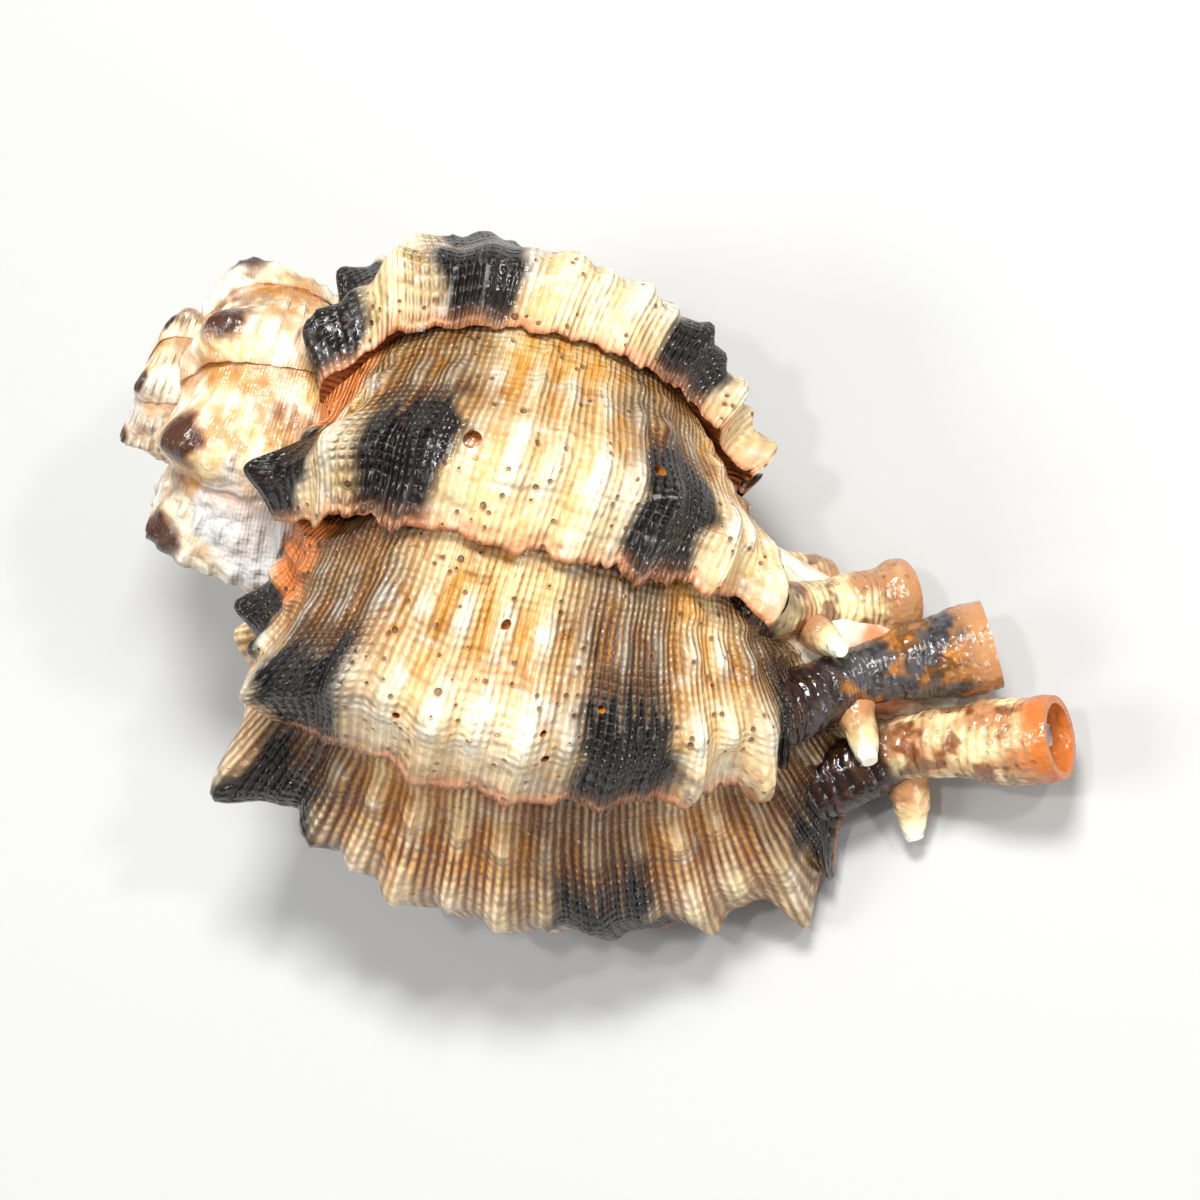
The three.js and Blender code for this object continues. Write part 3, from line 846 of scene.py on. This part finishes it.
    # Orange along the free edge, and where a varix springs from the suture.
    rim = part.step(0.93, 0.985) * (0.30 + streak(30.0, 3.0, 15.0).step(0.35, 0.6) * 0.6) * (1.0 - worn * 0.7)
    tint("peach", (rim * (1.0 - dark * 0.5)).clamp())
    notch = (share + sway * 0.06).step(0.165, 0.135) * (part + sway * 0.3).step(0.48, 0.36)
    notch = notch * growth.step(-5.2, -5.0)
    tint("orange", notch * (1.0 - worn))
    glaze = growth.step(-3.2, -6.5) * cloud(75.0, 2.0).step(0.52, 0.60) * 0.8
    tint("glaze", glaze * (1.0 - dark))
    tint("white", worn * cloud(150.0).step(0.36, 0.60) * 0.75 * (1.0 - glaze))
    rubbed = worn * (cloud(210.0).step(0.50, 0.62) * 0.6)
    tint("honey", rubbed * (1.0 - glaze))
    # Painted shade: honey in the hollow where each worn step starts by the suture.
    seam_shade = worn * (1.0 - part.step(0.0, 0.30)) * (0.35 + cloud(300.0) * 0.5)
    tint("honey", seam_shade.clamp() * outer)
    smudge = worn * cloud(120.0, 4.0).step(0.56, 0.66) * streak(20.0, 3.0, 23.0).step(0.40, 0.55)
    tint("chestnut", smudge * 0.6 * outer)
    peaks = share.peak(0.225, 0.06) * part.peak(0.70, 0.20) * 1.2 + (cloud(420.0) - 0.5) * 1.1 - 0.05
    tint("chestnut", peaks.step(0.20, 0.55) * worn * outer * 0.7)
    tint("umber", peaks.step(0.45, 0.75) * worn * outer * 0.9)
    tint("rust", edge * (1.0 - worn * 0.7))
    margin = (growth > 0.0) * outer
    tint("umber", margin * 0.7)

    # Canal spouts: dark ribbed necks, then tan, grey on an older one, with an orange mouth on the last.
    number = growth.floor()
    rings = (share * (2 * math.pi * SPOUT_RINGS) + cloud(500.0) * 6.0).cos() * 0.5 + 0.5
    first = 1.0 - number.step(0.0, 1.0)
    second = (1.0 - (number - 1.0).abs()).clamp()
    neck = blend(net, rings * 0.8, colours["black"], colours["umber"])
    tan = blend(net, cloud(260.0).step(0.40, 0.62), colours["tan"], colours["cream"])
    tan = blend(net, cloud(420.0).step(0.50, 0.64) * 0.8, tan, colours["chestnut"])
    mottled = blend(net, cloud(300.0).step(0.48, 0.66), colours["slate"], colours["honey"])
    mottled = blend(net, cloud(700.0).step(0.50, 0.62) * 0.6, mottled, colours["black"])
    body = blend(net, second, tan, mottled)
    reach = (share + (cloud(230.0) - 0.5) * 0.30 + (1.0 - first) * 0.10 - second * 0.05).step(0.50, 0.66)
    pipe = blend(net, reach, neck, body)
    mouth = (share + (cloud(300.0) - 0.5) * 0.10).step(0.90, 0.97)
    pipe = blend(net, mouth, pipe, blend(net, first, colours["tan"], colours["orange"]))
    ground = blend(net, spout, ground, pipe)
    thorn = blend(net, (share + (cloud(500.0) - 0.5) * 0.5).step(0.45, 0.85), colours["tan"], colours["cream"])
    ground = blend(net, is_kind(SPINE), ground, blend(net, share.step(0.75, 0.95), thorn, colours["white"]))

    # Hollow, pillar and inner lip are glazed; the tip is rubbed smooth.
    throat = blend(net, (1.0 - along * 9.0).clamp() * 0.7, colours["glaze"], colours["peach"])
    throat = blend(net, cloud(120.0).step(0.45, 0.65) * 0.3, throat, colours["white"])
    ground = blend(net, inside, ground, throat)
    lip = blend(net, cloud(140.0).step(0.4, 0.6), colours["white"], colours["peach"])
    aloft = net.node("ShaderNodeSeparateXYZ", {}, [place], output=2).step(0.011, 0.015)
    ground = blend(net, pillar, ground, blend(net, aloft, lip, tan))
    rubbed_tip = blend(net, cloud(350.0).step(0.4, 0.6), colours["honey"], colours["cream"])
    ground = blend(net, tip, ground, rubbed_tip)

    # Bored pores, each with a stained ring; the umber dot in each is painted shade inside the pore.
    def pores(scale, keep, size, ring):
        """The pores themselves, and the pores with their rings."""
        cells = net.tree.nodes.new("ShaderNodeTexVoronoi")
        net.tree.links.new(place.socket, cells.inputs["Vector"])
        cells.inputs["Scale"].default_value = scale
        chosen = net.node("ShaderNodeSeparateXYZ", {}, [Field(net, cells.outputs["Color"])])
        far, kept = Field(net, cells.outputs["Distance"]), (chosen < keep) * 1.0
        return [(1.0 - far.step(radius * 0.72, radius)) * kept for radius in (size, ring)]

    worm = (1.0 - inside) * (1.0 - pillar) * (1.0 - worn) * (1.0 - late * 0.7) * (1.0 - (outer + spout < 0.5))
    pinholes, ringed_pinholes = pores(700.0, 0.82, 0.16, 0.27)
    wide_holes, ringed_wide_holes = pores(330.0, 0.50, 0.12, 0.18)
    shaded_pores = (pinholes.most(wide_holes) * worm).clamp()
    halo_of_pores = (ringed_pinholes.most(ringed_wide_holes) * worm).clamp()
    tint("honey", halo_of_pores * 0.35 * (1.0 - dark))
    # Painted shade: umber inside each small pore, which is only a dip in the bump.
    tint("umber", shaded_pores * (0.65 + dark * 0.3))
    tint("honey", is_kind(HOLE))
    tint("orange", is_kind(BORE))

    # The relief is worked out three times over, so it has plain bands of its own and little fine noise.
    def plain_band(middle, half):
        return 1.0 - (share - middle).abs().step(half - 0.01, half + 0.01)

    beaded = plain_band(0.252, 0.050).most(plain_band(0.622, 0.054)).most(plain_band(0.895, 0.05))
    beaded = beaded * part.step(0.42, 0.58) * (1.0 - worn)
    calm_crest = crest * (1.0 - late) * 0.65
    plain_rings = (share * (2 * math.pi * SPOUT_RINGS) + cloud(500.0, 0.0) * 6.0).cos() * 0.5 + 0.5
    threaded = outer * (1.0 - worn * 0.85)
    height = (
        thread * (0.16 + beaded * 0.06) * threaded * (1.0 - calm_crest * 0.7)
        + (lines * 0.03 + thread * lines * (0.05 + beaded * 0.34)) * threaded
        + knobs * 0.25 * outer
        + plain_rings * 0.14 * spout * (1.0 - share.step(0.90, 0.97) * 0.7)
        + (cloud(900.0, 1.0) - 0.5) * (0.30 + beaded * 0.3)
        + (cloud(380.0, 1.0) - 0.5) * 1.2 * outer
        + cloud(2600.0, 0.0) * 0.045
        - shaded_pores * 0.40
        + (halo_of_pores - shaded_pores) * 0.06
    )
    bump = net.node("ShaderNodeBump", {}, {"Strength": 1.0, "Distance": 0.001, "Height": height})
    rough = 0.20 + shaded_pores * 0.4 + (cloud(600.0) - 0.5) * 0.18 + groove * 0.14 * outer
    shader = net.tree.nodes.new("ShaderNodeBsdfPrincipled")
    for name, value in {
        "Base Color": ground,
        "Roughness": rough.clamp(),
        "Coat Weight": 0.12,
        "Coat Roughness": 0.12,
        "Specular IOR Level": 0.5,
        "Normal": bump,
    }.items():
        if isinstance(value, Field):
            net.tree.links.new(value.socket, shader.inputs[name])
        else:
            shader.inputs[name].default_value = value
    out = net.tree.nodes.new("ShaderNodeOutputMaterial")
    net.tree.links.new(shader.outputs[0], out.inputs[0])
    net.lay()
    return material


def colour_property(name, description, code):
    return bpy.props.FloatVectorProperty(
        name=name, description=description, subtype="COLOR", size=3, min=0.0, max=1.0, default=shade(code)
    )


def length_property(name, description, value):
    return bpy.props.FloatProperty(name=name, description=description, default=value, min=0.0, unit="LENGTH")


def millimetres(length):
    """A panel length in the growth rule's own unit, free of the panel's rounding."""
    return round(length * 1000.0, 4)


class MurexSizes(bpy.types.PropertyGroup):
    """Sizes of the shell at its last growth step."""

    varix_height: length_property("Varix height", "How far a varix stands over its whorl", 0.004)
    edge_reach: length_property("Edge reach", "How far a varix overhangs the next step", 0.0019)
    cord_height: length_property("Cord height", "Height of the spiral cords", 0.0013)
    detail: bpy.props.FloatProperty(
        name="Detail",
        description="Points along each growth step, as a share of the usual number",
        default=1.0,
        min=0.3,
    )


class MurexColours(bpy.types.PropertyGroup):
    """Colours of the shell."""

    cream: colour_property("Cream", "Ground of the shell", "f2d9a3")
    white: colour_property("White", "Knobs and crests", "fbf3dc")
    ochre: colour_property("Ochre", "Furrows between the cords", "d2953f")
    honey: colour_property("Honey", "Streaks along the whorl", "b0702b")
    tan: colour_property("Tan", "Body of the canal spouts", "b98458")
    chestnut: colour_property("Chestnut", "Grooves between the threads", "713613")
    umber: colour_property("Umber", "Dark bands between the varices", "3a1b10")
    black: colour_property("Black", "Dark bands on the varices", "19120f")
    # Grey is painted highlight on the beads of the dark bands.
    grey: colour_property("Grey", "Beads in the dark bands", "77706a")
    slate: colour_property("Slate", "An older canal spout", "4d4a4b")
    peach: colour_property("Peach", "Free edges of the varices", "dc9468")
    orange: colour_property("Orange", "Callus at the suture and mouth of the canal", "c47035")
    rust: colour_property("Rust", "Under the free edges", "8c4f2c")
    glaze: colour_property("Glaze", "Glazed patches and the throat", "d9dde2")


class MUREX_OT_grow(bpy.types.Operator):
    """Grow the shell, join its steps and hollow it"""

    bl_idname = "murex.grow"
    bl_label = "Grow the shell"

    def execute(self, context):
        scene = context.scene
        sizes, colours = scene.murex_sizes, scene.murex_colours
        finish = shell_finish({name: tuple(getattr(colours, name)) for name in MurexColours.__annotations__})
        tree = shell_tree()
        seed = bpy.data.objects.new("seed", bpy.data.meshes.new("seed"))
        scene.collection.objects.link(seed)
        growth = seed.modifiers.new("Growth", "NODES")
        growth.node_group = tree
        values = {
            "Varix height": millimetres(sizes.varix_height),
            "Edge reach": millimetres(sizes.edge_reach),
            "Cord height": millimetres(sizes.cord_height),
            "Detail": sizes.detail,
            "Finish": finish,
        }
        for item in tree.interface.items_tree:
            if item.in_out == "INPUT":
                growth[item.identifier] = values[item.name]
        grown = seed.evaluated_get(context.evaluated_depsgraph_get())
        mesh = bpy.data.meshes.new_from_object(grown)
        bpy.data.objects.remove(seed)
        mesh.validate()
        if not mesh.polygons:
            raise RuntimeError("the shell came out empty")
        for name in ("travel", "round"):
            mesh.attributes.remove(mesh.attributes[name])
        mesh.set_sharp_from_angle(angle=math.radians(50))
        shell = bpy.data.objects.new("murex_shell", mesh)
        scene.collection.objects.link(shell)
        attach(shell, "root")
        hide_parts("shell")
        return {"FINISHED"}


class MUREX_OT_stage(bpy.types.Operator):
    """Lay the floor, hang the lights and set the camera"""

    bl_idname = "murex.stage"
    bl_label = "Set the stage"

    def execute(self, context):
        scene = context.scene
        rest = Matrix.Rotation(REST_PITCH, 3, "Y") @ Matrix.Rotation(REST_ROLL, 3, "X")
        start = axis_start()

        mesh = bpy.data.meshes.new("floor")
        mesh.from_pydata([(-3, -3, 0), (3, -3, 0), (3, 3, 0), (-3, 3, 0)], [], [(0, 1, 2, 3)])
        floor = bpy.data.objects.new("floor", mesh)
        paint = bpy.data.materials.new("Floor")
        paint.use_nodes = True
        skin = paint.node_tree.nodes["Principled BSDF"]
        skin.inputs["Base Color"].default_value = (0.50, 0.50, 0.49, 1.0)
        skin.inputs["Roughness"].default_value = 0.9
        mesh.materials.append(paint)
        scene.collection.objects.link(floor)

        slope = math.radians(23.5)
        right = rest @ Vector((math.cos(slope), math.sin(slope), 0.0))
        up = rest @ Vector((-math.sin(slope), math.cos(slope), 0.0))
        back = right.cross(up)
        centre = start + (rest @ Vector((55.6, -3.9, 12.0))) * 0.001
        camera_data = bpy.data.cameras.new("camera")
        camera_data.lens = 135.0
        camera_data.sensor_width = 36.0
        distance = 0.1062 / (36.0 / 135.0)
        camera = bpy.data.objects.new("camera", camera_data)
        turn = Matrix((right, up, back)).transposed().to_4x4()
        camera.matrix_world = Matrix.Translation(centre + back * distance) @ turn
        scene.collection.objects.link(camera)
        scene.camera = camera

        def lamp(name, side, rise, toward, size, power):
            data = bpy.data.lights.new(name, "AREA")
            data.shape = "RECTANGLE"
            data.size, data.size_y = size
            data.energy = power
            lamp = bpy.data.objects.new(name, data)
            place = centre + right * side + up * rise + back * toward
            aim = (place - centre).to_track_quat("Z", "Y").to_matrix().to_4x4()
            lamp.matrix_world = Matrix.Translation(place) @ aim
            scene.collection.objects.link(lamp)

        lamp("key", -0.06, 0.34, 0.50, (0.18, 0.12), 4.3)
        lamp("fill", 0.42, -0.28, 0.40, (0.25, 0.25), 1.3)
        lamp("rim", -0.45, 0.00, 0.35, (0.2, 0.2), 1.3)
        lamp("left spark", -0.22, 0.10, 0.60, (0.04, 0.04), 0.9)
        lamp("right spark", 0.22, 0.22, 0.58, (0.04, 0.04), 0.9)
        world = bpy.data.worlds.new("studio")
        world.use_nodes = True
        world.node_tree.nodes["Background"].inputs["Color"].default_value = (0.95, 0.97, 1.0, 1.0)
        world.node_tree.nodes["Background"].inputs["Strength"].default_value = 0.26
        scene.world = world
        scene.view_settings.view_transform = "Standard"
        return {"FINISHED"}


class MUREX_PT_panel(bpy.types.Panel):
    """The shell's sizes and colours, and what makes it"""

    bl_label = "Murex shell"
    bl_idname = "MUREX_PT_panel"
    bl_space_type = "VIEW_3D"
    bl_region_type = "UI"
    bl_category = "Murex"

    def draw(self, context):
        layout = self.layout
        for group in (context.scene.murex_sizes, context.scene.murex_colours):
            for name in group.__annotations__:
                layout.prop(group, name)
        for operator in (MUREX_OT_grow, MUREX_OT_stage):
            layout.operator(operator.bl_idname)


CLASSES = (MurexSizes, MurexColours, MUREX_OT_grow, MUREX_OT_stage, MUREX_PT_panel)


def register():
    for each in CLASSES:
        bpy.utils.register_class(each)
    bpy.types.Scene.murex_sizes = bpy.props.PointerProperty(type=MurexSizes)
    bpy.types.Scene.murex_colours = bpy.props.PointerProperty(type=MurexColours)


def unregister():
    del bpy.types.Scene.murex_sizes
    del bpy.types.Scene.murex_colours
    for each in reversed(CLASSES):
        bpy.utils.unregister_class(each)


def main():
    register()
    bpy.ops.murex.grow()
    bpy.ops.murex.stage()


if __name__ == "__main__":
    main()
